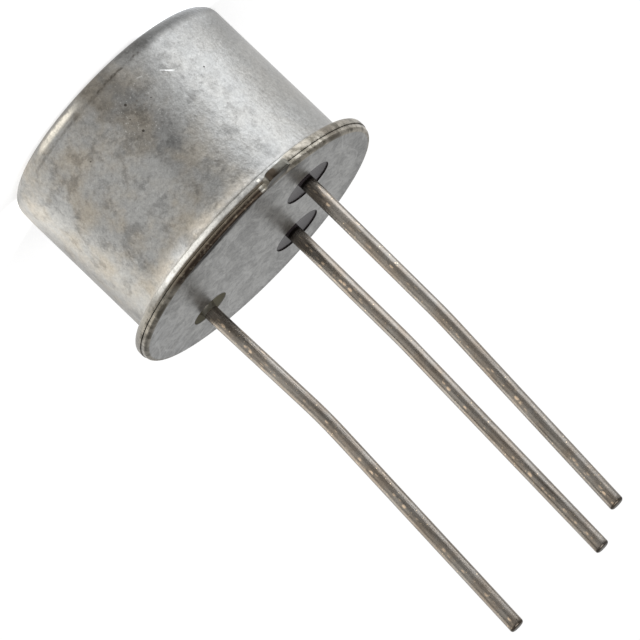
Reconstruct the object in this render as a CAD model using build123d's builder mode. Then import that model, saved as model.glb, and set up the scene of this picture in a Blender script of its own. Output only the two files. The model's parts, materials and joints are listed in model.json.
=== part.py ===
from build123d import *
from math import cos, radians, sin, tan
import os

# An NPN transistor in a round metal can with three wire leads, in millimetres.
# It stands on its head: the can's flat top lies on Z = 0, centred on the origin,
# and +Z runs up the axis, through the header, towards the tips of the leads.
# +X points from the axis to the emitter lead.

# ---- driving dimensions -------------------------------------------------------
# can, drawn from thin sheet
CAN_DIAMETER = 8.14
CAN_WALL = 0.25
CAN_TOP_RADIUS = 0.43  # outer radius between top and wall
CAN_FLANGE_WIDTH = 0.565  # beyond the wall
CAN_FLANGE_THICKNESS = 0.29
CAN_BEND_RADIUS = 0.30  # outer radius where the wall turns out into the flange
CAN_RIM_CHAMFER = 0.15
SEATING_HEIGHT = 6.12  # from the can's top to the header's underside

# header, one stamped disc with a raised platform inside the can
HEADER_SETBACK = 0.03  # of the header's rim inside the can's
HEADER_FLANGE_THICKNESS = 0.21
HEADER_RIM_CHAMFER = 0.12
PLATFORM_CLEARANCE = 0.17  # between the platform and the can's wall
PLATFORM_HEIGHT = 0.82
PLATFORM_CHAMFER = 0.12
SEAM_CHAMFER = 0.035  # edges of both flanges where they meet

# index tab on the header's rim
TAB_WIDTH = 0.80
TAB_LENGTH = 0.74  # beyond the can's flange
TAB_CORNER_RADIUS = 0.14
TAB_ROOT = 0.30  # its reach inwards from the header's rim
TAB_ANGLE = 43  # from the emitter lead

# leads, on one circle, the base lead a quarter turn from each of the others
LEAD_CIRCLE_DIAMETER = 5.08
LEAD_DIAMETER = 0.48
LEAD_LENGTH = 13.05  # outside the header
LEAD_TIP_CHAMFER = 0.04
POST_HEIGHT = 0.95  # of the emitter and base leads above the platform
EMITTER_ANGLE = 0
BASE_ANGLE = -90
COLLECTOR_ANGLE = 180

# how the leads sit and were bent in handling, all along one direction
LEAN_BEARING_ANGLE = 154.5  # that direction, about +Z from the emitter
LEAN_START_HEIGHT = 0.50  # where a lead first leans, above the header
LEAD_BEND_RADIUS = 18.0
EMITTER_SHIFT = 0.01  # off the lead circle, in the direction of the lean
EMITTER_KINK_HEIGHT = 5.60  # of the second, sharper bend, above the header
EMITTER_LEAN_ANGLE = 0.95  # from the axis, below and then above the kink
EMITTER_TIP_ANGLE = 3.50
BASE_SHIFT = 0.10
BASE_KINK_HEIGHT = 4.60
BASE_LEAN_ANGLE = 0.70
BASE_TIP_ANGLE = 2.50
COLLECTOR_SHIFT = 0.06
COLLECTOR_KINK_HEIGHT = 4.70
COLLECTOR_LEAN_ANGLE = -0.95
COLLECTOR_TIP_ANGLE = 3.35

# glass seals and the collector's brazed joint
GLASS_DIAMETER = 1.64
GLASS_DISH = 0.05  # depth of the hollow in the outer end
GLASS_SLOPE = 0.12  # width of the hollow's slope at the wall of the hole
RECESS_DIAMETER = 1.28
RECESS_DEPTH = 0.25
BRAZE_DIAMETER = 0.94
BRAZE_COLLAR_DIAMETER = 0.60  # where the braze turns up the lead
BRAZE_COLLAR_HEIGHT = 0.10  # of that turn above the recess's floor
BRAZE_CREEP = 0.08  # height of the braze on the lead above the header

# chip and its wires
DIE_WIDTH = 1.10
DIE_THICKNESS = 0.20
DIE_ATTACH_MARGIN = 0.09
DIE_ATTACH_THICKNESS = 0.03
PAD_LENGTH = 0.34
PAD_WIDTH = 0.22
PAD_THICKNESS = 0.01
PAD_OFFSET = 0.30  # from the die's centre
WIRE_DIAMETER = 0.06
WIRE_LOOP_HEIGHT = 0.28  # of the loop above the lead's end
WIRE_BEND_RADIUS = 0.30
WIRE_FOOT_DIAMETER = 0.16
WIRE_FOOT_THICKNESS = 0.06

# ---- sizes that follow ------------------------------------------------------------
can_radius = CAN_DIAMETER / 2
cavity_radius = can_radius - CAN_WALL
can_flange_radius = can_radius + CAN_FLANGE_WIDTH
header_radius = can_flange_radius - HEADER_SETBACK
platform_radius = cavity_radius - PLATFORM_CLEARANCE
lead_radius = LEAD_DIAMETER / 2
lead_circle_radius = LEAD_CIRCLE_DIAMETER / 2
glass_radius = GLASS_DIAMETER / 2

seam_height = SEATING_HEIGHT - HEADER_FLANGE_THICKNESS
can_flange_top = seam_height - CAN_FLANGE_THICKNESS
platform_face = seam_height - PLATFORM_HEIGHT
post_end = platform_face - POST_HEIGHT
recess_floor = SEATING_HEIGHT - RECESS_DEPTH
die_seat = platform_face - DIE_ATTACH_THICKNESS
die_face = die_seat - DIE_THICKNESS
pad_face = die_face - PAD_THICKNESS

lean_bearing = radians(LEAN_BEARING_ANGLE)
lean_direction = Vector(cos(lean_bearing), sin(lean_bearing), 0)


def on_lead_circle(angle):
    """A point of the lead circle, at the height of the can's top."""
    turn = radians(angle)
    return Vector(lead_circle_radius * cos(turn), lead_circle_radius * sin(turn), 0)


def upright_plane(foot):
    """A drawing plane through an upright axis: its X leads outwards, its Y is the height."""
    return Plane(origin=foot, x_dir=(1, 0, 0), z_dir=(0, -1, 0))


def corner(section, radius, height):
    """The corner of a drawn section that stands at this radius and height."""
    return section.vertices().sort_by_distance((radius, height, 0))[0]


emitter_hole = on_lead_circle(EMITTER_ANGLE)
base_hole = on_lead_circle(BASE_ANGLE)
collector_recess = on_lead_circle(COLLECTOR_ANGLE)
emitter_foot = emitter_hole + lean_direction * EMITTER_SHIFT
base_foot = base_hole + lean_direction * BASE_SHIFT
collector_foot = collector_recess + lean_direction * COLLECTOR_SHIFT


# ---- can ----------------------------------------------------------------------------
# A deep-drawn cup whose mouth is turned out into the welding flange.
with BuildPart() as can:
    with BuildSketch(Plane.XZ) as can_section:
        with BuildLine():
            Polyline(
                (0, 0),
                (can_radius, 0),
                (can_radius, can_flange_top),
                (can_flange_radius, can_flange_top),
                (can_flange_radius, seam_height),
                (cavity_radius, seam_height),
                (cavity_radius, CAN_WALL),
                (0, CAN_WALL),
                close=True,
            )
        make_face()
        fillet(corner(can_section, can_radius, 0), CAN_TOP_RADIUS)
        fillet(corner(can_section, can_radius, can_flange_top), CAN_BEND_RADIUS)
        chamfer(corner(can_section, can_flange_radius, can_flange_top), CAN_RIM_CHAMFER)
        chamfer(corner(can_section, can_flange_radius, seam_height), SEAM_CHAMFER)
        chamfer(corner(can_section, cavity_radius, seam_height), CAN_BEND_RADIUS)
        chamfer(corner(can_section, cavity_radius, CAN_WALL), CAN_TOP_RADIUS - CAN_WALL)
    revolve(axis=Axis.Z)
can.part.label = "can"


# ---- header ----------------------------------------------------------------------------
# Flange, index tab and die platform in one piece, with two holes for the glass seals
# and a blind recess in which the collector lead is brazed.
with BuildPart() as header:
    with BuildSketch(Plane.XZ) as header_section:
        with BuildLine():
            Polyline(
                (0, platform_face),
                (platform_radius, platform_face),
                (platform_radius, seam_height),
                (header_radius, seam_height),
                (header_radius, SEATING_HEIGHT),
                (0, SEATING_HEIGHT),
                close=True,
            )
        make_face()
        chamfer(corner(header_section, header_radius, seam_height), SEAM_CHAMFER)
        chamfer(corner(header_section, header_radius, SEATING_HEIGHT), HEADER_RIM_CHAMFER)
        chamfer(corner(header_section, platform_radius, platform_face), PLATFORM_CHAMFER)
    revolve(axis=Axis.Z)

    tab_start = header_radius - TAB_ROOT
    tab_end = can_flange_radius + TAB_LENGTH
    with BuildSketch(Plane.XY.offset(seam_height).rotated((0, 0, TAB_ANGLE))) as tab_outline:
        with Locations(((tab_start + tab_end) / 2, 0)):
            Rectangle(tab_end - tab_start, TAB_WIDTH)
        fillet(tab_outline.vertices().group_by(Axis.X)[-1], TAB_CORNER_RADIUS)
    extrude(amount=HEADER_FLANGE_THICKNESS)

    with BuildSketch(Plane.XY.offset(SEATING_HEIGHT)):
        with Locations(emitter_hole, base_hole):
            Circle(glass_radius)
    extrude(amount=platform_face - SEATING_HEIGHT, mode=Mode.SUBTRACT)

    with BuildSketch(Plane.XY.offset(SEATING_HEIGHT)):
        with Locations(collector_recess):
            Circle(RECESS_DIAMETER / 2)
    extrude(amount=-RECESS_DEPTH, mode=Mode.SUBTRACT)
header.part.label = "header"


# ---- glass seals ---------------------------------------------------------------------
def glass_seal(hole, foot, label):
    """A glass bead that fills its hole round a lead, slightly hollow at its outer end."""
    with BuildPart() as seal:
        with BuildSketch(upright_plane(hole)):
            with BuildLine():
                Polyline(
                    (0, SEATING_HEIGHT - GLASS_DISH),
                    (0, platform_face),
                    (glass_radius, platform_face),
                    (glass_radius, SEATING_HEIGHT),
                    (glass_radius - GLASS_SLOPE, SEATING_HEIGHT - GLASS_DISH),
                    close=True,
                )
            make_face()
        revolve(axis=Axis(hole, (0, 0, 1)))
        with BuildSketch(Plane.XY.offset(platform_face)):
            with Locations(foot):
                Circle(lead_radius)
        extrude(amount=SEATING_HEIGHT - platform_face, mode=Mode.SUBTRACT)
    seal.part.label = label
    return seal.part


emitter_glass_seal = glass_seal(emitter_hole, emitter_foot, "emitter_glass_seal")
base_glass_seal = glass_seal(base_hole, base_foot, "base_glass_seal")


# ---- leads ------------------------------------------------------------------------------
def lead(foot, start_height, kink_height, lean_angle, tip_angle, label):
    """A round wire: straight through the header, then two slight bends on the way to its tip."""
    kink_offset = (kink_height - LEAN_START_HEIGHT) * tan(radians(lean_angle))
    tip_offset = kink_offset + (LEAD_LENGTH - kink_height) * tan(radians(tip_angle))
    lean_plane = Plane(origin=foot, x_dir=lean_direction, z_dir=lean_direction.cross(Vector(0, 0, 1)))
    with BuildPart() as wire:
        with BuildLine(lean_plane) as route:
            FilletPolyline(
                (0, start_height),
                (0, SEATING_HEIGHT + LEAN_START_HEIGHT),
                (kink_offset, SEATING_HEIGHT + kink_height),
                (tip_offset, SEATING_HEIGHT + LEAD_LENGTH),
                radius=LEAD_BEND_RADIUS,
            )
        with BuildSketch(Plane(origin=route.line @ 0, z_dir=route.line % 0)):
            Circle(lead_radius)
        sweep(path=route.line)
        tip_edge = wire.edges().filter_by(GeomType.CIRCLE).sort_by(Axis.Z)[-1]
        chamfer(tip_edge, LEAD_TIP_CHAMFER)
    wire.part.label = label
    return wire.part


emitter_lead = lead(
    emitter_foot, post_end, EMITTER_KINK_HEIGHT, EMITTER_LEAN_ANGLE, EMITTER_TIP_ANGLE, "emitter_lead"
)
base_lead = lead(
    base_foot, post_end, BASE_KINK_HEIGHT, BASE_LEAN_ANGLE, BASE_TIP_ANGLE, "base_lead"
)
collector_lead = lead(
    collector_foot, recess_floor, COLLECTOR_KINK_HEIGHT, COLLECTOR_LEAN_ANGLE, COLLECTOR_TIP_ANGLE,
    "collector_lead",
)


# ---- collector braze ---------------------------------------------------------------------
# The filler that joins the collector lead to the floor of its recess and creeps up the wire.
with BuildPart() as collector_braze:
    with BuildSketch(upright_plane(collector_foot)):
        with BuildLine():
            Polyline(
                (lead_radius, SEATING_HEIGHT + BRAZE_CREEP),
                (lead_radius, recess_floor),
                (BRAZE_DIAMETER / 2, recess_floor),
                (BRAZE_COLLAR_DIAMETER / 2, recess_floor + BRAZE_COLLAR_HEIGHT),
                close=True,
            )
        make_face()
    revolve(axis=Axis(collector_foot, (0, 0, 1)))
collector_braze.part.label = "collector_braze"


# ---- die and its solder -------------------------------------------------------------------
with BuildPart() as die_attach:
    with BuildSketch(Plane.XY.offset(platform_face)):
        Rectangle(DIE_WIDTH + 2 * DIE_ATTACH_MARGIN, DIE_WIDTH + 2 * DIE_ATTACH_MARGIN)
    extrude(amount=die_seat - platform_face)
die_attach.part.label = "die_attach"

# The chip carries a metal pad for each bond wire; its back is the collector.
with BuildPart() as die:
    with BuildSketch(Plane.XY.offset(die_seat)):
        Rectangle(DIE_WIDTH, DIE_WIDTH)
    extrude(amount=die_face - die_seat)
    with BuildSketch(Plane.XY.offset(die_face)):
        with Locations((PAD_OFFSET, 0)):
            Rectangle(PAD_WIDTH, PAD_LENGTH)
        with Locations((0, -PAD_OFFSET)):
            Rectangle(PAD_LENGTH, PAD_WIDTH)
    extrude(amount=pad_face - die_face)
die.part.label = "die"


# ---- bond wires ---------------------------------------------------------------------------
def bond_wire(foot, label):
    """A fine wire from its pad on the die over to the end of a lead, with a pressed foot at each."""
    outwards = foot.normalized()
    loop_plane = Plane(origin=(0, 0, pad_face), x_dir=outwards, z_dir=outwards.cross(Vector(0, 0, -1)))
    pad_foot = Plane(origin=outwards * PAD_OFFSET + Vector(0, 0, pad_face), z_dir=(0, 0, -1))
    post_foot = Plane(origin=foot + Vector(0, 0, post_end), z_dir=(0, 0, -1))
    half_foot = WIRE_FOOT_THICKNESS / 2
    rise = pad_face - post_end
    crest = rise + WIRE_LOOP_HEIGHT
    with BuildPart() as wire:
        with BuildLine(loop_plane) as loop:
            FilletPolyline(
                (PAD_OFFSET, half_foot),
                (foot.length / 2, crest),
                (foot.length, rise + half_foot),
                radius=WIRE_BEND_RADIUS,
            )
        with BuildSketch(Plane(origin=loop.line @ 0, z_dir=loop.line % 0)):
            Circle(WIRE_DIAMETER / 2)
        sweep(path=loop.line)
        with BuildSketch(pad_foot, post_foot):
            Circle(WIRE_FOOT_DIAMETER / 2)
        extrude(amount=WIRE_FOOT_THICKNESS)
    wire.part.label = label
    return wire.part


emitter_bond_wire = bond_wire(emitter_foot, "emitter_bond_wire")
base_bond_wire = bond_wire(base_foot, "base_bond_wire")


# ---- export -------------------------------------------------------------------------------
pieces = [
    can.part,
    header.part,
    emitter_glass_seal,
    base_glass_seal,
    emitter_lead,
    base_lead,
    collector_lead,
    collector_braze.part,
    die_attach.part,
    die.part,
    emitter_bond_wire,
    base_bond_wire,
]
os.makedirs("parts", exist_ok=True)
for piece in pieces:
    export_step(piece, f"parts/{piece.label}.step")
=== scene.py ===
import json
from math import cos, hypot, radians, sin

import bmesh
import bpy
from mathutils import Matrix, Vector


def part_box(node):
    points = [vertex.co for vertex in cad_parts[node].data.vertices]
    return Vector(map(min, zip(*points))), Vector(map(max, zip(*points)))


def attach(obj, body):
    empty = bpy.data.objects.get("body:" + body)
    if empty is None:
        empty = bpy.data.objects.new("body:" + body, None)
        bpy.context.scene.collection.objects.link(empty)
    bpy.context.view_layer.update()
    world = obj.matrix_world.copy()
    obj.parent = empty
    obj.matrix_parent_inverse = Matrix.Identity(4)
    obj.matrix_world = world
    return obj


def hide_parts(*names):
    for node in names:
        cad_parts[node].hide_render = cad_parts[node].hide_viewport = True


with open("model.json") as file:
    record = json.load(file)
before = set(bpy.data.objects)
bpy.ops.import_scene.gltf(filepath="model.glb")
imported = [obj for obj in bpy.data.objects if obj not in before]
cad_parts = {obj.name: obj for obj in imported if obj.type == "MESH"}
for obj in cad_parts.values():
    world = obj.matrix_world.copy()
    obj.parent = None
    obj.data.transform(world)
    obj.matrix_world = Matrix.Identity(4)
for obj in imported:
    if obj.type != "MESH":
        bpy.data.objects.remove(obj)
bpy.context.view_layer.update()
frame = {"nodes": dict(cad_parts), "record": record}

# Everything is in metres, and the patterns of the finishes in millimetres.
# The part stands on the can's top, at z = 0, and its leads point up.
MM = 0.001

# ---- sizes taken from the frame ------------------------------------------------------
mounts = {mount["name"]: mount for mount in frame["record"]["mounts"]}
SEAT = mounts["seating_face"]["pos_m"][2]
CAN_RADIUS = mounts["can_wall"]["dims"]["r_mm"] * MM
LEAD_RADIUS = mounts["lead_circle"]["dims"]["stud_r_mm"] * MM
LEAD_CIRCLE_RADIUS = mounts["lead_circle"]["dims"]["pcd_mm"] / 2 * MM
FLANGE_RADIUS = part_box("can")[1].x
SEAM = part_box("can")[1].z
PLATFORM_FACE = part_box("header")[0].z
HEADER_RADIUS = -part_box("header")[0].x
POST_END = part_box("emitter_lead")[0].z
LEAD_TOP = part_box("emitter_lead")[1].z
RECESS_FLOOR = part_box("collector_braze")[0].z
BRAZE_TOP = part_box("collector_braze")[1].z
GLASS_RADIUS = (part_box("emitter_glass_seal")[1].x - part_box("emitter_glass_seal")[0].x) / 2

# ---- bearings, about the can's axis from the emitter lead ----------------------------
EMITTER_ANGLE = 0.0
BASE_ANGLE = radians(-90)
COLLECTOR_ANGLE = radians(180)
TAB_ANGLE = radians(43)
LEAN_BEARING = radians(154.5)
FRONT_BEARING = radians(64.5)  # the middle of the can's front

# ---- sizes of the finer shapes -------------------------------------------------------
CAN_WALL = 0.25 * MM
CAN_TOP_ROUNDING = 0.43 * MM
CAN_FLANGE_TOP = SEAM - 0.29 * MM
CAN_BEND_ROUNDING = 0.30 * MM
CAN_RIM_ROUNDING = 0.16 * MM
SEAM_ROUNDING = 0.007 * MM
HEADER_RIM_ROUNDING = 0.13 * MM
PLATFORM_RADIUS = CAN_RADIUS - CAN_WALL - 0.17 * MM
PLATFORM_ROUNDING = 0.12 * MM
TAB_WIDTH = 0.80 * MM
TAB_END = FLANGE_RADIUS + 0.74 * MM
TAB_ROOT = HEADER_RADIUS - 0.30 * MM
TAB_ROUNDING = 0.14 * MM
TAB_END_THICKNESS = 0.28 * MM
TAB_END_ROUNDING = 0.06 * MM
RECESS_RADIUS = 0.64 * MM
LEAN_START = SEAT + 0.50 * MM
EMITTER_KINK = SEAT + 5.60 * MM
BASE_KINK = SEAT + 4.60 * MM
COLLECTOR_KINK = SEAT + 4.70 * MM
BEND_RADIUS = 18 * MM
TIP_ROUNDING = 0.08 * MM

# ---- how finely round shapes are divided ---------------------------------------------
CAN_SIDES = 192
SEAL_SIDES = 96
BRAZE_SIDES = 64
LEAD_SIDES = 48
LEAD_STEPS = 64


# ---- places on the level -------------------------------------------------------------
def level(bearing, distance):
    """A point on the level, as (x, y)."""
    return distance * cos(bearing), distance * sin(bearing)


def shifted(place, distance):
    """A lead's foot, a little off the middle of its hole in the direction that the leads lean."""
    along = level(LEAN_BEARING, distance)
    return place[0] + along[0], place[1] + along[1]


def in_mm(place):
    """A place on the level in the millimetres of the finishes."""
    return place[0] / MM, place[1] / MM


def clockwise(degrees):
    """A bearing counted clockwise from the can's front, as seen from the leads' tips."""
    return FRONT_BEARING - radians(degrees)


EMITTER_HOLE = level(EMITTER_ANGLE, LEAD_CIRCLE_RADIUS)
BASE_HOLE = level(BASE_ANGLE, LEAD_CIRCLE_RADIUS)
COLLECTOR_RECESS = level(COLLECTOR_ANGLE, LEAD_CIRCLE_RADIUS)
EMITTER_FOOT = shifted(EMITTER_HOLE, 0.01 * MM)
BASE_FOOT = shifted(BASE_HOLE, 0.10 * MM)
COLLECTOR_FOOT = shifted(COLLECTOR_RECESS, 0.06 * MM)


# ---- camera: along the header's face, a little above it, turned on its side ----------
VIEW_AZIMUTH = radians(154.5)
VIEW_TILT = radians(11.865)
VIEW_ROLL = radians(43.74)
VIEW_HEIGHT = 6.10 * MM
CAMERA_DISTANCE = 257.7 * MM
CAMERA_RIGHT = 1.785 * MM
CAMERA_DOWN = 2.161 * MM
FOCAL_LENGTH = 500  # in the lens's own millimetres, as is the sensor's width
SENSOR_WIDTH = 36


def add_camera():
    """A far camera with a long lens, rolled so that the leads point to the lower right."""
    away = -Vector((sin(VIEW_AZIMUTH), -cos(VIEW_AZIMUTH), 0))
    across = Vector((-away.y, away.x, 0))
    up = Vector((0, 0, 1))
    level_down = away * sin(VIEW_TILT) + up * cos(VIEW_TILT)
    right = across * sin(VIEW_ROLL) + level_down * cos(VIEW_ROLL)
    down = -across * cos(VIEW_ROLL) + level_down * sin(VIEW_ROLL)
    forward = away * cos(VIEW_TILT) - up * sin(VIEW_TILT)
    place = Vector((0, 0, VIEW_HEIGHT)) - forward * CAMERA_DISTANCE
    place += right * CAMERA_RIGHT + down * CAMERA_DOWN
    lens = bpy.data.cameras.new("camera")
    lens.lens = FOCAL_LENGTH
    lens.sensor_width = SENSOR_WIDTH
    lens.clip_start = 10 * MM
    lens.clip_end = 5
    camera = bpy.data.objects.new("camera", lens)
    bpy.context.scene.collection.objects.link(camera)
    turn = Matrix((right, -down, -forward)).transposed()
    camera.matrix_world = Matrix.Translation(place) @ turn.to_4x4()
    bpy.context.scene.camera = camera


# ---- floor and lights ----------------------------------------------------------------
def add_floor(finish):
    """The pale floor under the part."""
    bpy.ops.mesh.primitive_plane_add(size=4)
    floor = bpy.context.object
    floor.name = "floor"
    floor.data.materials.append(finish)


def add_panel(name, bearing, distance, height, width, tall, power):
    """A soft light panel, shining on the floor under the can."""
    lamp = bpy.data.lights.new(name, "AREA")
    lamp.shape = "RECTANGLE"
    lamp.size = width
    lamp.size_y = tall
    lamp.energy = power
    panel = bpy.data.objects.new(name, lamp)
    bpy.context.scene.collection.objects.link(panel)
    panel.location = (*level(bearing, distance), height)
    panel.rotation_euler = (-panel.location).to_track_quat("-Z", "Y").to_euler()
    panel.visible_camera = False


def add_lights():
    """A dim even room, a soft main light above the front and a weak one behind."""
    world = bpy.data.worlds.new("room")
    world.use_nodes = True
    room = world.node_tree.nodes["Background"]
    room.inputs["Color"].default_value = (1, 1, 1, 1)
    room.inputs["Strength"].default_value = 0.25
    bpy.context.scene.world = world
    add_panel("key_panel", clockwise(10), 200 * MM, 350 * MM, width=0.3, tall=0.3, power=0.4)
    add_panel("back_panel", clockwise(180), 300 * MM, 60 * MM, width=0.28, tall=0.3, power=0.05)
    bpy.context.scene.view_settings.view_transform = "Standard"


# ---- colours -------------------------------------------------------------------------
# the can's plate, with painted highlights and painted shade
GREY_TIN = (0.345, 0.343, 0.332)
WARM_TIN = (0.360, 0.328, 0.278)
FLANGE_TIN = (0.40, 0.395, 0.375)
FLANGE_HIGHLIGHT_TIN = (0.95, 0.93, 0.87)
FLANGE_END_SHADE_TIN = (0.27, 0.255, 0.225)
TOP_HIGHLIGHT_TIN = (0.85, 0.80, 0.70)
SCRATCHED_TIN = (0.90, 0.90, 0.88)
CREASE_SHADE = (0.05, 0.042, 0.034)
PIT_DIRT = (0.05, 0.044, 0.036)
DARK_GRIT = (0.12, 0.105, 0.09)
LIGHT_GRIT = (0.75, 0.74, 0.70)
# the weld, with its painted shade and painted highlights
RIM_SHADE_BLACK = (0.040, 0.028, 0.020)
RIM_SHADE_BROWN = (0.105, 0.080, 0.060)
RIM_SHADE_FLECK = (0.34, 0.29, 0.22)
SEAM_BROWN = (0.22, 0.19, 0.145)
DARK_BEIGE = (0.10, 0.09, 0.072)
LIGHT_BEIGE = (0.255, 0.235, 0.20)
SCORCH_BROWN = (0.07, 0.052, 0.035)
RIM_BAND_SHADE = (0.035, 0.029, 0.023)
RIM_HIGHLIGHT = (0.95, 0.92, 0.84)
BEAD = (0.72, 0.69, 0.62)
# the header's plate, with painted shade at the tab's end
HEADER_TIN = (0.63, 0.63, 0.615)
SWIRL_TIN = (0.95, 0.95, 0.93)
POLISHED_TIN = (0.88, 0.89, 0.90)
DARK_TAB = (0.05, 0.046, 0.037)
LIGHT_TAB = (0.25, 0.24, 0.21)
TAB_END_SHADE_COLOUR = (0.07, 0.056, 0.042)
RECESS_FLUX = (0.48, 0.46, 0.37)
HOLE_WALL = (0.035, 0.026, 0.022)
# the leads, with painted shade at their feet
WIRE_GREY = (0.288, 0.266, 0.238)
WIRE_BROWN = (0.262, 0.222, 0.182)
GLINT = (0.80, 0.63, 0.43)
BARE_COPPER = (0.74, 0.59, 0.43)
RUBBED_COPPER = (0.85, 0.66, 0.48)
FOOT_SHADE = (0.02, 0.015, 0.013)
CUT_END = (0.13, 0.105, 0.08)
# glass, filler, chip and its wires
GLASS_BLACK = (0.036, 0.028, 0.033)
GLASS_VIOLET = (0.080, 0.064, 0.072)
GLASS_BUBBLE = (0.10, 0.09, 0.10)
FILLER_GREY = (0.36, 0.34, 0.29)
FILLER_STAIN = (0.20, 0.18, 0.13)
SILICON = (0.20, 0.22, 0.26)
DIFFUSED_SILICON = (0.13, 0.17, 0.25)
DARK_GOLD = (0.62, 0.48, 0.24)
LIGHT_GOLD = (0.80, 0.68, 0.42)
ALUMINIUM = (0.86, 0.86, 0.87)
# the floor
CARD_GREY = (0.80, 0.80, 0.80)
CARD_WHITE = (0.83, 0.83, 0.83)
EVEN_LIGHT = (1, 1, 1)
COOL_LIGHT = (0.94, 0.985, 1.05)
WARM_LIGHT = (1.03, 1.0, 0.93)

# ---- where the finishes change: at these radii, in millimetres -----------------------
BEND_RADII = (4.075, 4.22)  # from the wall's plate to the flange's
CAN_RIM_RADII = (4.50, 4.57)  # to the can's welded rim
HEADER_RIM_RADII = (4.44, 4.50)  # to the header's welded rim
HOLE_RADII = (GLASS_RADIUS / MM + 0.005, GLASS_RADIUS / MM + 0.02)  # out of a hole's dark wall
RECESS_RADII = (0.66, 0.70)  # out of the collector's recess

# ---- scratches on the wall -----------------------------------------------------------
# depth, middle (to the side, up the can), length and turn
SCRATCHES = (
    (1.0, (1.81, 1.39), 0.42, radians(43)),
    (0.7, (1.86, 1.46), 0.30, radians(47)),
    (0.5, (1.12, 1.02), 0.20, radians(20)),
)


# ---- finishes ------------------------------------------------------------------------
class Value:
    """A number or a direction that changes over a surface; sums with it add Math nodes."""

    def __init__(self, finish, socket):
        self.finish = finish
        self.socket = socket

    def math(self, operation, *given):
        return self.finish.node("ShaderNodeMath", {"operation": operation}, given)

    def __add__(self, other):
        return self.math("ADD", self, other)

    def __radd__(self, other):
        return self.math("ADD", other, self)

    def __sub__(self, other):
        return self.math("SUBTRACT", self, other)

    def __rsub__(self, other):
        return self.math("SUBTRACT", other, self)

    def __mul__(self, other):
        return self.math("MULTIPLY", self, other)

    def __rmul__(self, other):
        return self.math("MULTIPLY", other, self)

    def __truediv__(self, other):
        return self.math("DIVIDE", self, other)

    def __pow__(self, other):
        return self.math("POWER", self, other)

    def __abs__(self):
        return self.math("ABSOLUTE", self)


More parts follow.
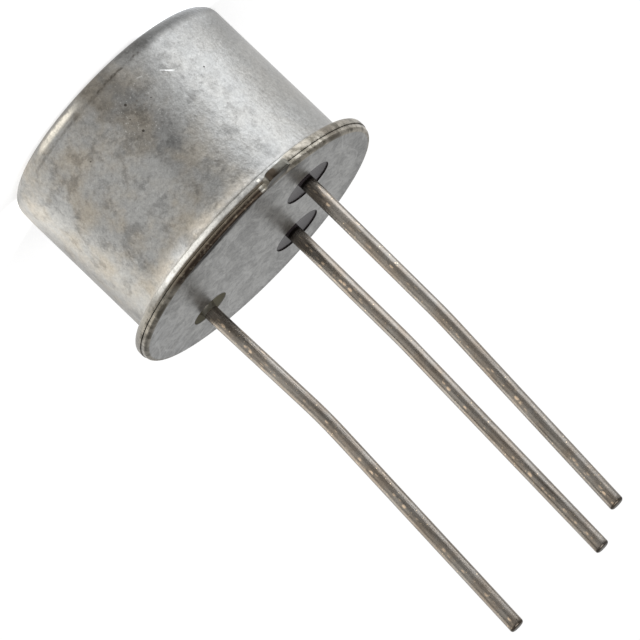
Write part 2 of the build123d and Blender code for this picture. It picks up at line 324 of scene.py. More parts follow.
class Finish:
    """One material in the making: its patterns, in millimetres, and its shader."""

    def __init__(self, name):
        self.material = bpy.data.materials.new(name)
        self.material.use_nodes = True
        self.tree = self.material.node_tree
        self.shader = self.tree.nodes["Principled BSDF"]
        metres = self.node("ShaderNodeTexCoord", {}, {}, "Object")
        given = {0: metres, "Scale": 1 / MM}
        self.place = self.node("ShaderNodeVectorMath", {"operation": "SCALE"}, given)
        self.x = self.node("ShaderNodeSeparateXYZ", {}, [self.place], "X")
        self.y = self.node("ShaderNodeSeparateXYZ", {}, [self.place], "Y")
        self.z = self.node("ShaderNodeSeparateXYZ", {}, [self.place], "Z")

    def node(self, kind, settings, given, output=0):
        """Adds a node with its settings and inputs; returns one of its outputs."""
        made = self.tree.nodes.new(kind)
        for name, setting in settings.items():
            setattr(made, name, setting)
        pairs = given.items() if isinstance(given, dict) else enumerate(given)
        for key, value in pairs:
            if isinstance(value, Value):
                self.tree.links.new(value.socket, made.inputs[key])
            else:
                made.inputs[key].default_value = value
        return Value(self, made.outputs[output])

    def radius(self, foot=(0, 0)):
        """The distance from an upright axis."""
        return ((self.x - foot[0]) ** 2 + (self.y - foot[1]) ** 2) ** 0.5

    def along(self, bearing):
        """The distance from the can's axis in a level direction."""
        return self.x * cos(bearing) + self.y * sin(bearing)

    def aside(self):
        """The distance from the can's axis, a quarter turn clockwise from the front."""
        return self.along(clockwise(90))

    def front(self):
        """1 on the can's front half, 0 behind."""
        return self.above(self.along(FRONT_BEARING), 0.0, 0.5)

    def facing(self, bearing):
        """How far the surface faces a level direction: 1 towards it, 0 across it."""
        normal = self.node("ShaderNodeTexCoord", {}, {}, "Normal")
        both = [normal, (*level(bearing, 1), 0)]
        return self.node("ShaderNodeVectorMath", {"operation": "DOT_PRODUCT"}, both, "Value")

    def stretched(self, scale, turn=0.0):
        """The place, turned about the axis and stretched, so that a pattern on it has a grain."""
        given = {"Vector": self.place, "Rotation": (0, 0, -turn)}
        turned = self.node("ShaderNodeMapping", {}, given)
        return self.node("ShaderNodeMapping", {}, {"Vector": turned, "Scale": scale})

    def noise(self, per_mm, detail=2.0, roughness=0.5, at=None, distortion=0.0):
        given = {"Vector": at or self.place, "Scale": per_mm, "Detail": detail}
        given |= {"Roughness": roughness, "Distortion": distortion}
        return self.node("ShaderNodeTexNoise", {}, given, "Fac")

    def cells(self, per_mm, at=None):
        """The distance from the nearest of many scattered points, in cells."""
        given = {"Vector": at or self.place, "Scale": per_mm}
        return self.node("ShaderNodeTexVoronoi", {}, given, "Distance")

    def step(self, value, low, high, start, end):
        """A soft step from one number to another, between the low and the high value."""
        given = {"Value": value, 1: low, 2: high, 3: start, 4: end}
        return self.node("ShaderNodeMapRange", {"interpolation_type": "SMOOTHSTEP"}, given)

    def above(self, value, low, high, rest=0.0):
        """1 above the high value, the rest below the low one."""
        return self.step(value, low, high, rest, 1.0)

    def below(self, value, low, high, rest=0.0):
        """1 below the low value, the rest above the high one."""
        return self.step(value, low, high, 1.0, rest)

    def band(self, value, middle, half, soft):
        """A soft stripe round one value."""
        return self.below(abs(value - middle), half, half + soft)

    def mix(self, factor, first, second):
        """A colour between two colours."""
        ends = [end if isinstance(end, Value) else (*end, 1) for end in (first, second)]
        given = {0: factor, 6: ends[0], 7: ends[1]}
        return self.node("ShaderNodeMix", {"data_type": "RGBA"}, given, 2)

    def shade(self, colour, factor):
        """A colour made lighter or darker by a number."""
        given = {0: colour, "Scale": factor}
        return self.node("ShaderNodeVectorMath", {"operation": "SCALE"}, given)

    def total(self, *colours):
        """The sum of some colours, as of lights."""
        so_far = colours[0]
        for colour in colours[1:]:
            so_far = self.node("ShaderNodeVectorMath", {"operation": "ADD"}, [so_far, colour])
        return so_far

    def relief(self, *patterns):
        """The surface's direction, raised by patterns, each with its depth in millimetres."""
        steps = [pattern * depth for pattern, depth in patterns]
        given = {"Height": sum(steps[1:], steps[0]), "Distance": MM, "Strength": 1.0}
        return self.node("ShaderNodeBump", {}, given)

    def set(self, **sockets):
        """Gives the shader its numbers and patterns; returns the finished material."""
        for name, value in sockets.items():
            socket = self.shader.inputs[name.replace("_", " ").title().replace("Ior", "IOR")]
            if isinstance(value, Value):
                self.tree.links.new(value.socket, socket)
            else:
                socket.default_value = value
        return self.material


def scratch(finish, middle, length, turn):
    """A short thin scratch on the wall, given by its middle, to the side and up the can."""
    aside, up_can = finish.aside() - middle[0], finish.z - middle[1]
    run = aside * cos(turn) + up_can * sin(turn)
    off = up_can * cos(turn) - aside * sin(turn)
    off = off + 0.15 * run * run
    return finish.band(off, 0.0, 0.004, 0.022) * finish.below(abs(run), 0.35 * length, 0.5 * length)


def wall_tarnish_and_painted_light(finish, cloud):
    """The wall's grey plate: warm tarnish patches, painted shade in a dark stripe and two darker
    veils, and a painted highlight band by the flange.
    """
    height = finish.z
    aside = finish.aside()
    warm = finish.above(cloud, 0.36, 0.70) * finish.below(aside, 0.0, 2.0, 0.2)
    plate = finish.mix(warm, GREY_TIN, WARM_TIN)
    # painted shade: a dark stripe on the front of the wall, weaker towards the flange
    stripe = finish.band(aside + 1.2 * cloud, 0.75, 0.25, 0.6) * finish.below(height, 2.5, 4.5, 0.6)
    plate = finish.shade(plate, 1 - 0.30 * stripe)
    # painted shade: two darker veils on the front of the wall
    painted_shade_veil = finish.band(aside, 1.15, 0.55, 0.45) * finish.below(height, 3.0, 3.8, 0.35)
    painted_shade_veil = painted_shade_veil + finish.band(aside, -0.3, 0.7, 0.6) * finish.below(height, 0.9, 1.9)
    plate = finish.shade(plate, 1 - 0.16 * painted_shade_veil)
    # painted highlight: a light band on the wall just above the flange's bend
    light = finish.above(height, 4.95, 5.40) * finish.above(aside, -3.3, -2.2)
    light = light * finish.below(aside, 0.3, 1.8)
    return finish.shade(plate, 1 + 0.75 * light)


def flange_plate(finish, plate, cloud):
    """The flange and its bend, with a painted highlight along the front and painted shade, darker
    and warmer, at one end of it.
    """
    aside = finish.aside()
    # painted highlight: the flange bright along the front
    bright = finish.below(aside, -1.8, 1.4) * finish.above(aside, -3.6, -2.5)
    metal = finish.mix(bright, FLANGE_TIN, FLANGE_HIGHLIGHT_TIN)
    # painted shade: the flange darker and warmer at its left end
    metal = finish.mix(finish.below(aside + 0.5 * cloud, -3.3, -2.3), metal, FLANGE_END_SHADE_TIN)
    return finish.mix(finish.above(finish.radius(), *BEND_RADII), plate, metal)


def wall_painted_shade_and_smudges(finish, plate, cloud):
    """Painted shade and painted light on the wall, darker and paler towards the can's top and to
    both sides, and smudges.
    """
    aside = finish.aside()
    # painted shade: the top rounding darker on the right side
    edge = finish.below(finish.z, 0.30, 0.62)
    edge = edge * finish.above(finish.z, 0.03, 0.11, 0.45)
    plate = finish.shade(plate, 1 - 0.65 * edge * finish.above(aside, 0.6, 2.2))
    height = finish.z + 0.6 * cloud
    # painted light: a paler patch on the left, towards the can's top
    pale = finish.band(aside, -3.3, 0.25, 0.6) * finish.below(height, 1.0, 2.8)
    plate = finish.shade(plate, 1 + 0.35 * pale)
    # painted shade: darker along the wall's left edge
    plate = finish.shade(plate, 1 - 0.25 * finish.below(aside, -4.03, -3.75))
    # painted shade: a darker corner on the right, towards the can's top
    corner = finish.below(height, 0.9, 2.6) * finish.above(aside, 2.0, 3.3)
    plate = finish.shade(plate, 1 - 0.32 * corner)
    smudge = finish.above(finish.noise(1.9, 4, 0.65), 0.50, 0.66)
    smudge = smudge * finish.below(aside, 2.0, 3.0, 0.3)
    return finish.shade(plate, 1 - 0.30 * smudge)


def top_painted_highlight_and_shade(finish, plate, cloud, mottle, dimples):
    """A painted highlight along the can's top rounding, and a broken dark line of painted shade
    beside it.
    """
    height = finish.z
    aside = finish.aside()
    # painted highlight: a light line along the top rounding, on the front
    rubbed = finish.band(height + 0.08 * mottle, 0.30, 0.03, 0.12)
    rubbed = rubbed * finish.band(aside + 0.5 * cloud, -1.35, 0.35, 0.75)
    rubbed = rubbed * finish.above(mottle, 0.25, 0.50, 0.5)
    plate = finish.mix(rubbed * finish.front(), plate, TOP_HIGHLIGHT_TIN)
    # painted shade: a broken dark line just past the top rounding
    crease = finish.band(height + 0.16 * mottle + 0.05 * dimples, 0.56, 0.010, 0.05)
    crease = crease * finish.above(finish.noise(2.3, 3, 0.7), 0.40, 0.62)
    crease = crease * finish.band(aside, 0.7, 0.9, 0.7)
    fold = finish.band(height + 0.10 * mottle, 0.56, 0.010, 0.06)
    fold = fold * finish.band(aside, -1.1, 1.6, 0.6)
    crease = 0.65 * crease + 0.40 * fold * finish.above(dimples, 0.30, 0.60)
    return finish.mix(crease, plate, CREASE_SHADE)


def wall_pits(finish, crowd):
    """Where the small pits are: more of them in one crowded place."""
    pits = finish.below(finish.cells(3.2) - 0.11 * crowd, 0.0, 0.05)
    return pits + finish.below(finish.cells(1.15), 0.012, 0.04)


def wall_grit(finish, plate, crowd):
    """Fine dark and light specks."""
    grit = finish.noise(12, 3, 0.7)
    dark = finish.above(grit, 0.56, 0.64) * (0.10 + 0.45 * crowd)
    plate = finish.mix(dark, plate, DARK_GRIT)
    light = finish.below(grit, 0.30, 0.40) * (0.15 + 0.25 * crowd)
    return finish.mix(light, plate, LIGHT_GRIT)


def wall_scratches(finish, plate):
    """The bright scratches, each as strong as it is deep."""
    marks = [depth * scratch(finish, *shape) for depth, *shape in SCRATCHES]
    scratches = sum(marks[1:], marks[0])
    return finish.mix(scratches * finish.front() * 0.5, plate, SCRATCHED_TIN)


def can_weld(finish, plate):
    """The weld's browning on the can's rim, with its painted shade, and one painted highlight left
    of the tab.
    """
    low = 5.80 - 0.20 * finish.above(finish.aside(), 1.7, 2.6)
    rim = finish.above(finish.radius(), *CAN_RIM_RADII)
    plate = finish.mix(rim * finish.above(finish.z - low, 0.0, 0.07), plate, weld_brown_with_painted_light(finish))
    # painted highlight: one bright spot on the rim, left of the tab
    rim_highlight_spot = finish.band(finish.along(TAB_ANGLE + radians(94.8)), 0.0, 0.03, 0.04) * finish.front()
    rim_highlight_spot = rim_highlight_spot * finish.band(finish.z, 5.77, 0.02, 0.04) * rim
    return finish.mix(rim_highlight_spot * 0.9, plate, RIM_HIGHLIGHT)


def can_plate():
    """Satin tin plate, tarnished in warm patches, with specks, pits and a few bright scratches, and
    with painted highlights and painted shade.
    """
    finish = Finish("can_plate")
    cloud = finish.noise(0.9, 3, 0.6)
    mottle = finish.noise(4.5, 3, 0.6)
    dimples = finish.noise(9.0, 2, 0.5)
    grain = finish.noise(22, 1, 0.5)
    plate = wall_tarnish_and_painted_light(finish, cloud)
    plate = flange_plate(finish, plate, cloud)
    plate = wall_painted_shade_and_smudges(finish, plate, cloud)
    plate = top_painted_highlight_and_shade(finish, plate, cloud, mottle, dimples)
    crowd = finish.band(finish.aside(), 0.3, 0.3, 0.9) * finish.band(finish.z, 1.8, 0.3, 0.9)
    pits = wall_pits(finish, crowd)
    plate = finish.mix(pits * 0.75, plate, PIT_DIRT)
    plate = wall_grit(finish, plate, crowd)
    plate = finish.shade(plate, 0.33 + 0.50 * mottle + 0.40 * dimples + 0.44 * grain)
    plate = wall_scratches(finish, plate)
    plate = can_weld(finish, plate)
    rough = 0.30 + 0.10 * mottle + 0.08 * dimples + pits * 0.3
    relief = finish.relief((mottle, 0.010), (dimples, 0.008), (1 - pits, 0.010))
    return finish.set(base_color=plate, metallic=1.0, roughness=rough, normal=relief)


def weld_brown_with_painted_light(finish):
    """The welded rim's colours: beige, nearly black along the middle of the front as painted shade,
    with a painted highlight along its crown.
    """
    ahead = finish.along(clockwise(-6))
    aside = finish.aside()
    # painted shade: the rim nearly black where it faces the front
    front_rim_shade = finish.above(ahead + 0.5 * finish.noise(1.6, 3, 0.6), 4.15, 4.55)
    streaks = finish.noise(3.0, 3, 0.6)
    flecks = finish.above(finish.noise(9.0, 3, 0.6), 0.52, 0.68)
    black = finish.mix(streaks, RIM_SHADE_BLACK, RIM_SHADE_BROWN)
    black = finish.mix(flecks * 0.5, black, RIM_SHADE_FLECK)
    seam = finish.below(abs(finish.z - SEAM / MM), 0.02, 0.09)
    black = finish.mix(seam * 0.7, black, SEAM_BROWN)
    streaked = finish.above(streaks, 0.36, 0.62)
    beige = finish.mix(streaked, DARK_BEIGE, LIGHT_BEIGE)
    # painted highlight along the crown of the rim's rounding; the beige is also lighter towards the
    # right
    crown_highlight = finish.above(finish.z, SEAT / MM - 0.15, SEAT / MM - 0.06)
    lighter = (1 + 0.40 * finish.above(aside, 1.2, 2.4)) * (1 + 1.10 * crown_highlight)
    beige = finish.shade(beige, lighter)
    scorch = finish.band(aside, 3.75, 0.08, 0.22) * finish.above(streaks, 0.35, 0.55)
    beige = finish.mix(scorch * 0.6, beige, SCORCH_BROWN)
    return finish.mix(front_rim_shade, beige, black)


def header_swirls(finish, drawn):
    """Where light swirls run over the header, broken in places."""
    swirls = finish.noise(0.55, 1, 0.5, at=drawn, distortion=0.6)
    broken = finish.above(finish.noise(2.0, 3, 0.6, at=drawn), 0.42, 0.60)
    lines = finish.band(swirls, 0.50, 0.004, 0.014) + finish.band(swirls, 0.42, 0.003, 0.012)
    return lines * broken


def header_polish(finish, plate):
    """A polished patch at one side of the header, streaked across the grain."""
    streaks = finish.noise(1.0, 3, 0.6, at=finish.stretched((1.0, 5.0, 1), clockwise(-125)))
    polish = finish.below(finish.aside(), -3.9, -2.9) * finish.above(streaks, 0.42, 0.62)
    return finish.mix(polish * 0.50, plate, POLISHED_TIN)


def tab_marks(finish, plate):
    """The tab, worn, with painted shade at one corner of its end, and a light bead of weld beside
    its root.
    """
    beyond = finish.along(TAB_ANGLE)
    beside = finish.along(TAB_ANGLE + radians(90))
    tab = finish.above(beyond, 4.74, 4.80) * finish.below(abs(beside), 0.45, 0.50)
    # painted shade at one corner of the tab's end
    tab_end_shade = finish.above(beside + 0.5 * finish.noise(4.0, 3, 0.6), 0.22, 0.40)
    tab_end_shade = tab_end_shade * finish.above(beyond, 5.18, 5.26)
    worn = finish.mix(finish.noise(5.0, 4, 0.7), DARK_TAB, LIGHT_TAB)
    plate = finish.mix(tab, plate, finish.mix(tab_end_shade, worn, TAB_END_SHADE_COLOUR))
    bead = finish.above(beside, 0.36, 0.39) * finish.below(beside, 0.48, 0.58)
    bead = bead * finish.above(beyond, 4.45, 4.55) * finish.below(beyond, 5.10, 5.24)
    return finish.mix(bead * 0.85, plate, BEAD)


def hole_walls(finish, plate):
    """Dark walls round the glass seals."""
    for hole in (EMITTER_HOLE, BASE_HOLE):
        plate = finish.mix(finish.below(finish.radius(in_mm(hole)), *HOLE_RADII), plate, HOLE_WALL)
    return plate


def header_plate():
    """Satin plate with fine hairlines and light swirls, and painted shade towards its rim and along
    the front; its rim is browned by the weld.
    """
    finish = Finish("header_plate")
    drawn = finish.stretched((1, 0.5, 1), clockwise(-90))
    hairlines = finish.noise(1.0, 3, 0.7, at=finish.stretched((1.2, 22, 1), clockwise(-90)))
    haze = finish.noise(0.9, 3, 0.6)
    specks = finish.noise(12, 2, 0.6, at=drawn)
    clouds = finish.noise(2.2, 4, 0.65, at=drawn, distortion=0.8)
    tone = 0.05 * finish.above(hairlines, 0.35, 0.65) + 0.14 * finish.above(haze, 0.35, 0.65)
    tone = 0.65 + tone + 0.36 * finish.above(clouds, 0.36, 0.64)
    tone = tone + 0.18 * finish.above(specks, 0.40, 0.60)
    plate = finish.shade(HEADER_TIN, tone)
    # painted shade: the header darker towards its rim
    plate = finish.shade(plate, 1 - 0.14 * finish.above(finish.radius(), 3.7, 4.5))
    plate = finish.mix(header_swirls(finish, drawn) * 0.45, plate, SWIRL_TIN)
    plate = header_polish(finish, plate)
    rim = finish.above(finish.radius(), *HEADER_RIM_RADII)
    plate = finish.mix(rim, plate, weld_brown_with_painted_light(finish))
    # painted shade: a dark band along the front, just inside the rim
    front_band_shade = finish.along(clockwise(-8)) + 0.45 * finish.noise(1.8, 4, 0.65)
    front_band_shade = finish.above(front_band_shade, 4.28, 4.56) * (1 - rim)
    plate = finish.mix(front_band_shade * 0.92, plate, RIM_BAND_SHADE)
    plate = tab_marks(finish, plate)
    recess = finish.below(finish.radius(in_mm(COLLECTOR_RECESS)), *RECESS_RADII)
    recess = recess * finish.below(finish.z, 6.08, 6.11)
    plate = finish.mix(recess, plate, RECESS_FLUX)
    plate = hole_walls(finish, plate)
    groove = finish.band(finish.radius(), 4.30, 0.02, 0.05)
    rough = 0.26 + 0.12 * haze + 0.06 * clouds + 0.3 * recess + 0.35 * front_band_shade
    relief = finish.relief(
        (hairlines, 0.0012), (clouds, 0.006), (specks, 0.002), (1 - groove, 0.008)
    )
    return finish.set(base_color=plate, metallic=1 - 0.8 * recess, roughness=rough, normal=relief)


def bare_copper(finish, wire):
    """Copper showing through: here and there, and in spots along the line that is rubbed most."""
    bare = finish.below(finish.cells(1.0, at=finish.stretched((10, 10, 2.6))), 0.10, 0.30)
    bare = bare * finish.above(finish.noise(0.8, 2, 0.5), 0.46, 0.60)
    bare = bare * finish.below(finish.z, 8.5, 14.0, 0.6)
    wire = finish.mix(bare * 0.4, wire, BARE_COPPER)
    rubbed = finish.band(finish.facing(clockwise(90)), -0.22, 0.10, 0.16)
    rubbed = rubbed * finish.above(finish.facing(FRONT_BEARING), 0.2, 0.4)
    spots = finish.below(finish.cells(1.0, at=finish.stretched((6, 6, 4))), 0.20, 0.42)
    spots = spots * finish.above(finish.noise(1.2, 3, 0.6), 0.40, 0.56)
    return finish.mix(rubbed * spots * 0.85, wire, RUBBED_COPPER)


def lead_wire():
    """Tinned wire, dulled brown along its length, with drawn lines, copper glints, and painted
    shade at its foot in the glass.
    """
    finish = Finish("lead_wire")
    lines = finish.noise(1.0, 3, 0.65, at=finish.stretched((14, 14, 0.7)))
    blotches = finish.above(finish.noise(1.3, 3, 0.6), 0.34, 0.66)
    specks = finish.noise(18, 2, 0.6)
    glints = finish.below(finish.cells(6.0), 0.05, 0.15)
    wire = finish.mix(blotches, WIRE_GREY, WIRE_BROWN)
    wire = finish.shade(wire, 0.22 + 0.80 * lines + 0.60 * specks)
    wire = finish.mix(glints * 0.7, wire, GLINT)
    grime = finish.above(finish.noise(1.0, 3, 0.6, at=finish.stretched((6, 6, 0.5))), 0.52, 0.64)
    wire = finish.shade(wire, 1 - 0.25 * grime)
    wire = bare_copper(finish, wire)
    # painted shade: the wires nearly black at their feet in the glass seals
    sealed = finish.below(finish.z, SEAT / MM + 0.01, SEAT / MM + 0.07)
    sealed = sealed * finish.above(finish.x, -1.6, -1.4)
    wire = finish.mix(sealed * 0.9, wire, FOOT_SHADE)
    cut_end = finish.above(finish.z, LEAD_TOP / MM - 0.10, LEAD_TOP / MM - 0.05)
    wire = finish.mix(cut_end * 0.35, wire, CUT_END)
    rough = 0.17 + 0.12 * lines + 0.06 * specks - glints * 0.10
    relief = finish.relief((lines, 0.004), (specks, 0.002))
    return finish.set(base_color=wire, metallic=1.0, roughness=rough, normal=relief)


def seal_glass():
    """Nearly black fused glass with a faint violet cast and fine bubbles."""
    finish = Finish("seal_glass")
    cloud = finish.noise(2.4, 3, 0.6)
    bubbles = finish.below(finish.cells(7.0), 0.06, 0.16)
    glass = finish.mix(finish.above(cloud, 0.35, 0.7), GLASS_BLACK, GLASS_VIOLET)
    glass = finish.mix(bubbles * 0.4, glass, GLASS_BUBBLE)
    relief = finish.relief((cloud, 0.006), (bubbles, 0.002))
    rough = 0.12 + 0.14 * cloud
    return finish.set(base_color=glass, roughness=rough, normal=relief, specular_ior_level=0.35)


def braze_filler():
    """Smooth grey filler with flux stains."""
    finish = Finish("braze_filler")
    stain = finish.noise(3.2, 4, 0.6)
    specks = finish.noise(17, 2, 0.6)
    metal = finish.mix(finish.above(stain, 0.35, 0.65), FILLER_GREY, FILLER_STAIN)
    metal = finish.shade(metal, 0.75 + 0.4 * specks)
    relief = finish.relief((stain, 0.02))
    return finish.set(base_color=metal, metallic=1.0, roughness=0.28 + 0.2 * stain, normal=relief)


def polished_silicon():
    """Blue-grey silicon, with the faint steps of its diffused areas."""
    finish = Finish("polished_silicon")
    half = finish.node("ShaderNodeMath", {"operation": "MAXIMUM"}, [abs(finish.x), abs(finish.y)])
    diffused = finish.below(half, 0.40, 0.42)
    film = finish.noise(2.0, 2, 0.5)
    chip = finish.mix(diffused, SILICON, DIFFUSED_SILICON)
    chip = finish.shade(chip, 0.8 + 0.4 * film)
    relief = finish.relief((diffused, 0.002))
    return finish.set(base_color=chip, metallic=0.6, roughness=0.10 + 0.10 * film, normal=relief)


def gold_solder():
    """Gold-tin die solder, wavy where it has run."""
    finish = Finish("gold_solder")
    ripple = finish.noise(5.0, 3, 0.6)
    gold = finish.mix(ripple, DARK_GOLD, LIGHT_GOLD)
    relief = finish.relief((ripple, 0.02))
    return finish.set(base_color=gold, metallic=1.0, roughness=0.24 + 0.2 * ripple, normal=relief)


def bond_aluminium():
    """Drawn aluminium wire."""
    finish = Finish("bond_aluminium")
    lines = finish.noise(9.0, 3, 0.6)
    metal = finish.shade(ALUMINIUM, 0.8 + 0.3 * lines)
    relief = finish.relief((lines, 0.002))
    return finish.set(base_color=metal, metallic=1.0, roughness=0.2 + 0.2 * lines, normal=relief)


def sector(finish, bearing, half, soft, reach):
    """A soft sector of the floor, from the axis outwards; its width is given as a slope."""
    ahead = finish.along(bearing)
    aside = abs(finish.along(bearing + radians(90)))
    inside = finish.below(aside / ahead, half, half + soft) * finish.above(ahead, 0.5, 2.0)
    return inside * finish.below(ahead, 0.7 * reach, reach)


def floor_glow(finish):
    """Light from below the card: evenly under and behind the part, and more in sectors
    to each side of the can, which show as light bands on its wall and its leads."""
    far = finish.above(finish.radius(), 24, 36)
    under = finish.below(finish.radius(level(clockwise(180), 58)), 82, 102)
    outer = finish.above(finish.radius(), 110, 170) * (1 - under)
    even = finish.shade(EVEN_LIGHT, 0.70 * under + 0.60 * outer)
    right = 1.5 * (1 - far) * sector(finish, clockwise(63), 0.12, 0.65, 90)
    right = right + 2.5 * far * sector(finish, clockwise(77), 0.30, 0.34, 170)
    left = 0.9 * sector(finish, clockwise(-106), 0.12, 0.33, 60)
    left = left + 0.9 * far * sector(finish, clockwise(-102), 0.10, 0.45, 170)
    left = left + 0.50 * far * sector(finish, clockwise(-38), 0.25, 0.30, 170)
    cool = finish.shade(COOL_LIGHT, right)
    warm = finish.shade(WARM_LIGHT, left)
    return finish.total(even, cool, warm)


def floor_card():
    """White card with a barely visible tooth, lit from below."""
    finish = Finish("floor_card")
    tooth = finish.noise(0.6, 3, 0.6)
    return finish.set(
        base_color=finish.mix(tooth, CARD_GREY, CARD_WHITE),
        roughness=0.9,
        specular_ior_level=0.2,
        emission_color=floor_glow(finish),
        emission_strength=1.0,
        normal=finish.relief((tooth, 0.01)),
    )


# ---- shaping -------------------------------------------------------------------------
def only(piece):
    """Makes a piece the one that the next operators act on."""
    bpy.ops.object.select_all(action="DESELECT")
    piece.select_set(True)
    bpy.context.view_layer.objects.active = piece


def pick(kind, test):
    """Selects the faces, edges or vertices of the piece being edited that pass a test."""
    bpy.ops.mesh.select_mode(type=kind)
    bpy.ops.mesh.select_all(action="DESELECT")
    mesh = bmesh.from_edit_mesh(bpy.context.object.data)
    elements = {"FACE": mesh.faces, "EDGE": mesh.edges, "VERT": mesh.verts}[kind]
    for element in elements:
        element.select_set(test(element))
    bmesh.update_edit_mesh(bpy.context.object.data)


def near(value, target):
    """Whether two lengths are the same to a thousandth of a millimetre."""
    return abs(value - target) < 0.001 * MM


def ring(radius, height, foot=(0, 0)):
    """A test for the edges of a level ring."""
    def on_ring(edge):
        return all(
            near(hypot(v.co.x - foot[0], v.co.y - foot[1]), radius) and near(v.co.z, height)
            for v in edge.verts
        )
    return on_ring


def pull(outline, foot=(0, 0)):
    """Extrudes what is selected from point to point of an outline of (radius, height)."""
    for (radius, height), (next_radius, next_height) in zip(outline, outline[1:]):
        step = (0, 0, next_height - height)
        bpy.ops.mesh.extrude_region_move(TRANSFORM_OT_translate={"value": step})
        widening = next_radius / radius
        bpy.ops.transform.resize(
            value=(widening, widening, 1), center_override=(foot[0], foot[1], next_height)
        )


def turned(name, outline, foot=(0, 0), sides=CAN_SIDES, solid=True):
    """A round piece pulled up from its first ring; left in edit mode.
    A solid one starts from a filled ring and keeps its last one as its cap."""
    bpy.ops.object.select_all(action="DESELECT")
    bpy.ops.mesh.primitive_circle_add(
        vertices=sides,
        radius=outline[0][0],
        fill_type="NGON" if solid else "NOTHING",
        location=(foot[0], foot[1], outline[0][1]),
    )
    piece = bpy.context.object
    piece.name = name
    bpy.ops.object.transform_apply(location=True, rotation=True, scale=True)
    bpy.ops.object.mode_set(mode="EDIT")
    bpy.ops.mesh.select_all(action="SELECT")
    pull(outline, foot)
    return piece


def round_edges(test, size, segments):
    """Rounds the edges that pass a test."""
    pick("EDGE", test)
    bpy.ops.mesh.bevel(offset=size, segments=segments, profile=0.5, affect="EDGES")


def close_shape():
    """Merges doubles, turns the faces outwards and leaves edit mode."""
    bpy.ops.mesh.select_all(action="SELECT")
    bpy.ops.mesh.remove_doubles(threshold=0.0005 * MM)
    bpy.ops.mesh.normals_make_consistent(inside=False)
    bpy.ops.object.mode_set(mode="OBJECT")


def apply_modifier(piece, kind, **settings):
    """Adds a modifier with its settings and applies it at once."""
    only(piece)
    modifier = piece.modifiers.new(kind.lower(), kind)
    for name, value in settings.items():
        setattr(modifier, name, value)
    bpy.ops.object.modifier_apply(modifier=modifier.name)


def fit(piece, node, material, sharp=30):
    """Smooths a finished piece, and puts it in the place of its CAD node."""
    only(piece)
    bpy.ops.object.transform_apply(location=True, rotation=True, scale=True)
    bpy.ops.object.shade_smooth_by_angle(angle=radians(sharp))
    piece.data.materials.clear()
    piece.data.materials.append(material)
    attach(piece, "root")
    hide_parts(node)


# ---- can -----------------------------------------------------------------------------
def make_can(material):
    """A drawn cup with its mouth turned out into a flange, hollow inside."""
    cavity = CAN_RADIUS - CAN_WALL
    can = turned(
        "can_shell",
        [
            (CAN_RADIUS, 0),
            (CAN_RADIUS, CAN_FLANGE_TOP),
            (FLANGE_RADIUS, CAN_FLANGE_TOP),
            (FLANGE_RADIUS, SEAM),
            (cavity, SEAM),
            (cavity, CAN_WALL),
        ],
    )
    round_edges(ring(CAN_RADIUS, 0), CAN_TOP_ROUNDING, 8)
    round_edges(ring(CAN_RADIUS, CAN_FLANGE_TOP), CAN_BEND_ROUNDING, 8)
    round_edges(ring(FLANGE_RADIUS, CAN_FLANGE_TOP), CAN_RIM_ROUNDING, 5)
    round_edges(ring(FLANGE_RADIUS, SEAM), SEAM_ROUNDING, 3)
    round_edges(ring(cavity, SEAM), CAN_BEND_ROUNDING, 4)
    round_edges(ring(cavity, CAN_WALL), CAN_TOP_ROUNDING - CAN_WALL, 4)
    close_shape()
    fit(can, "can", material)


# ---- header --------------------------------------------------------------------------
def make_tab():
    """The index tab, a square tongue on the header's rim, a little thicker at its end."""
    high = SEAT - SEAM
    middle = ((TAB_ROOT + FLANGE_RADIUS) / 2, 0, SEAM + high / 2)
    bpy.ops.object.select_all(action="DESELECT")
    bpy.ops.mesh.primitive_cube_add(size=1, location=middle)
    tab = bpy.context.object
    tab.scale = (FLANGE_RADIUS - TAB_ROOT, TAB_WIDTH, high)
    bpy.ops.object.transform_apply(location=True, rotation=True, scale=True)
    bpy.ops.object.mode_set(mode="EDIT")
    pick("FACE", lambda face: face.normal.x > 0.9)
    thickening = TAB_END_THICKNESS - high
    step = (TAB_END - FLANGE_RADIUS, 0, thickening / 2)
    bpy.ops.mesh.extrude_region_move(TRANSFORM_OT_translate={"value": step})
    end_middle = (TAB_END, 0, SEAM + TAB_END_THICKNESS / 2)
    bpy.ops.transform.resize(value=(1, 1, TAB_END_THICKNESS / high), center_override=end_middle)

    def upright_end(edge):
        first, second = (v.co for v in edge.verts)
        at_end = near(first.x, TAB_END) and near(second.x, TAB_END)
        return at_end and first.y * second.y > 0

    def end_rim(edge):
        level_edge = near(edge.verts[0].co.z, edge.verts[1].co.z)
        return level_edge and all(v.co.x > TAB_END - 2 * TAB_ROUNDING for v in edge.verts)

    round_edges(upright_end, TAB_ROUNDING, 6)
    round_edges(end_rim, TAB_END_ROUNDING, 3)
    bpy.ops.object.mode_set(mode="OBJECT")
    tab.matrix_world = Matrix.Rotation(TAB_ANGLE, 4, "Z")
    bpy.ops.object.transform_apply(location=True, rotation=True, scale=True)
    return tab


def make_drill(foot, radius, low, high, sides=SEAL_SIDES):
    """A plain rod whose shape is cut out of a piece."""
    middle = (foot[0], foot[1], (low + high) / 2)
    bpy.ops.object.select_all(action="DESELECT")
    bpy.ops.mesh.primitive_cylinder_add(
        vertices=sides, radius=radius, depth=high - low, location=middle
    )
    bpy.ops.object.transform_apply(location=True, rotation=True, scale=True)
    return bpy.context.object


def cut_or_join(piece, tool, operation):
    """Cuts a tool out of a piece, or joins it on, and removes the tool."""
    apply_modifier(piece, "BOOLEAN", operation=operation, object=tool, solver="EXACT")
    bpy.data.objects.remove(tool)


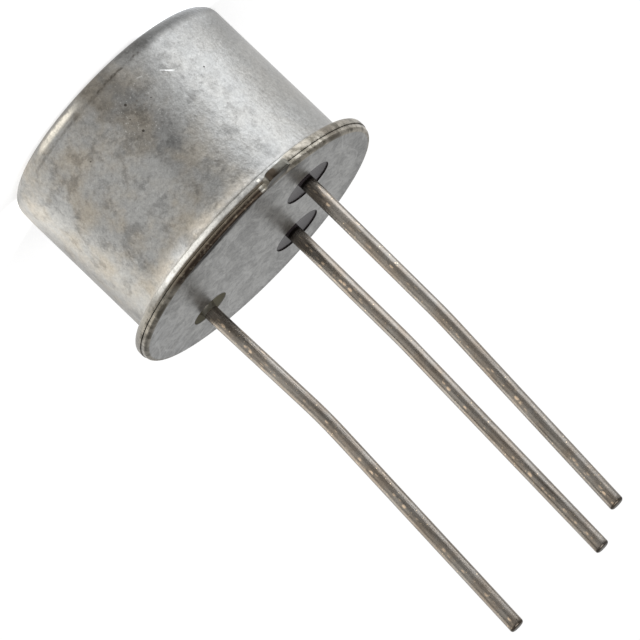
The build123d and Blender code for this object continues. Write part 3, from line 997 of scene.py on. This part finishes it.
def make_header(material):
    """The stamped disc with its platform, tab, two sealed holes and the collector's recess."""
    header = turned(
        "header_disc",
        [
            (PLATFORM_RADIUS, PLATFORM_FACE),
            (PLATFORM_RADIUS, SEAM),
            (HEADER_RADIUS, SEAM),
            (HEADER_RADIUS, SEAT),
        ],
    )
    round_edges(ring(PLATFORM_RADIUS, PLATFORM_FACE), PLATFORM_ROUNDING, 4)
    round_edges(ring(HEADER_RADIUS, SEAM), SEAM_ROUNDING, 3)
    round_edges(ring(HEADER_RADIUS, SEAT), HEADER_RIM_ROUNDING, 6)
    close_shape()
    cut_or_join(header, make_tab(), "UNION")
    for hole in (EMITTER_HOLE, BASE_HOLE):
        drill = make_drill(hole, GLASS_RADIUS, PLATFORM_FACE - MM, SEAT + MM)
        cut_or_join(header, drill, "DIFFERENCE")
    recess = make_drill(COLLECTOR_RECESS, RECESS_RADIUS, RECESS_FLOOR, SEAT + MM)
    cut_or_join(header, recess, "DIFFERENCE")
    fit(header, "header", material)


# ---- glass seals ---------------------------------------------------------------------
def make_seal(name, node, hole, foot, material):
    """A glass bead, slightly hollow at its outer end, with a lead through it."""
    seal = turned(
        name,
        [
            (GLASS_RADIUS, PLATFORM_FACE),
            (GLASS_RADIUS, SEAT - 0.030 * MM),
            (GLASS_RADIUS - 0.10 * MM, SEAT - 0.038 * MM),
            (GLASS_RADIUS - 0.22 * MM, SEAT - 0.045 * MM),
            (GLASS_RADIUS - 0.38 * MM, SEAT - 0.050 * MM),
            (LEAD_RADIUS, SEAT - 0.053 * MM),
        ],
        hole,
        sides=SEAL_SIDES,
    )
    close_shape()
    drill = make_drill(foot, LEAD_RADIUS, PLATFORM_FACE - MM, SEAT + MM, LEAD_SIDES)
    cut_or_join(seal, drill, "DIFFERENCE")
    fit(seal, node, material, sharp=50)


# ---- leads ---------------------------------------------------------------------------
def eased(rise, reach):
    """The rise past a bend, turned into it softly over its reach to both sides."""
    if rise < -reach:
        return 0.0
    if rise > reach:
        return rise
    return (rise + reach) ** 2 / (4 * reach)


def make_lead(name, node, mount, foot, kink, start, material):
    """A wire pulled ring by ring along its line: upright, then leaning, then leaning more."""
    slope = Vector(mount["axis"])
    tip_lean = Vector((slope.x, slope.y)) / slope.z
    middle = Vector(mount["pos_m"])
    kink_place = Vector((middle.x, middle.y)) - tip_lean * (middle.z - kink)
    lean = (kink_place - Vector(foot)) / (kink - LEAN_START)
    turn = tip_lean - lean
    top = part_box(node)[1].z

    def place(height):
        shift = lean * eased(height - LEAN_START, BEND_RADIUS * lean.length / 2)
        shift += turn * eased(height - kink, BEND_RADIUS * turn.length / 2)
        return Vector((foot[0] + shift.x, foot[1] + shift.y, height))

    wire = turned(name, [(LEAD_RADIUS, start)], foot, sides=LEAD_SIDES)
    rise = top - SEAT
    heights = [start] + [SEAT + rise * step / LEAD_STEPS for step in range(LEAD_STEPS + 1)]
    for low, high in zip(heights, heights[1:]):
        move = place(high) - place(low)
        bpy.ops.mesh.extrude_region_move(TRANSFORM_OT_translate={"value": move})
    round_edges(lambda edge: all(near(v.co.z, top) for v in edge.verts), TIP_ROUNDING, 4)
    close_shape()
    fit(wire, node, material)


# ---- collector braze -----------------------------------------------------------------
def make_braze(material):
    """Filler in the recess, drawn up round the collector's wire."""
    low = RECESS_FLOOR
    braze = turned(
        "braze_fillet",
        [
            (LEAD_RADIUS, low),
            (0.47 * MM, low),
            (0.40 * MM, low + 0.035 * MM),
            (0.33 * MM, low + 0.08 * MM),
            (0.28 * MM, low + 0.15 * MM),
            (0.25 * MM, low + 0.23 * MM),
            (LEAD_RADIUS, BRAZE_TOP),
            (LEAD_RADIUS, low),
        ],
        COLLECTOR_FOOT,
        sides=BRAZE_SIDES,
        solid=False,
    )
    close_shape()
    fit(braze, "collector_braze", material, sharp=50)


# ---- dressing ------------------------------------------------------------------------
def dress(node, material):
    """Gives a piece of the frame, hidden inside the can, its material."""
    piece = frame["nodes"][node]
    piece.data.materials.clear()
    piece.data.materials.append(material)


def make_seals(material):
    """The two glass beads."""
    make_seal("emitter_glass", "emitter_glass_seal", EMITTER_HOLE, EMITTER_FOOT, material)
    make_seal("base_glass", "base_glass_seal", BASE_HOLE, BASE_FOOT, material)


def make_leads(material):
    """The three wires, each with its own foot and bend."""
    for name, foot, kink, start in (
        ("emitter", EMITTER_FOOT, EMITTER_KINK, POST_END),
        ("base", BASE_FOOT, BASE_KINK, POST_END),
        ("collector", COLLECTOR_FOOT, COLLECTOR_KINK, RECESS_FLOOR),
    ):
        pin = mounts[f"{name}_pin"]
        make_lead(f"{name}_wire", f"{name}_lead", pin, foot, kink, start, material)


def dress_inside():
    """The chip, its solder and its wires, as they are in the frame."""
    dress("die", polished_silicon())
    dress("die_attach", gold_solder())
    aluminium = bond_aluminium()
    dress("emitter_bond_wire", aluminium)
    dress("base_bond_wire", aluminium)


add_camera()
add_floor(floor_card())
add_lights()
make_can(can_plate())
make_header(header_plate())
make_seals(seal_glass())
make_leads(lead_wire())
make_braze(braze_filler())
dress_inside()
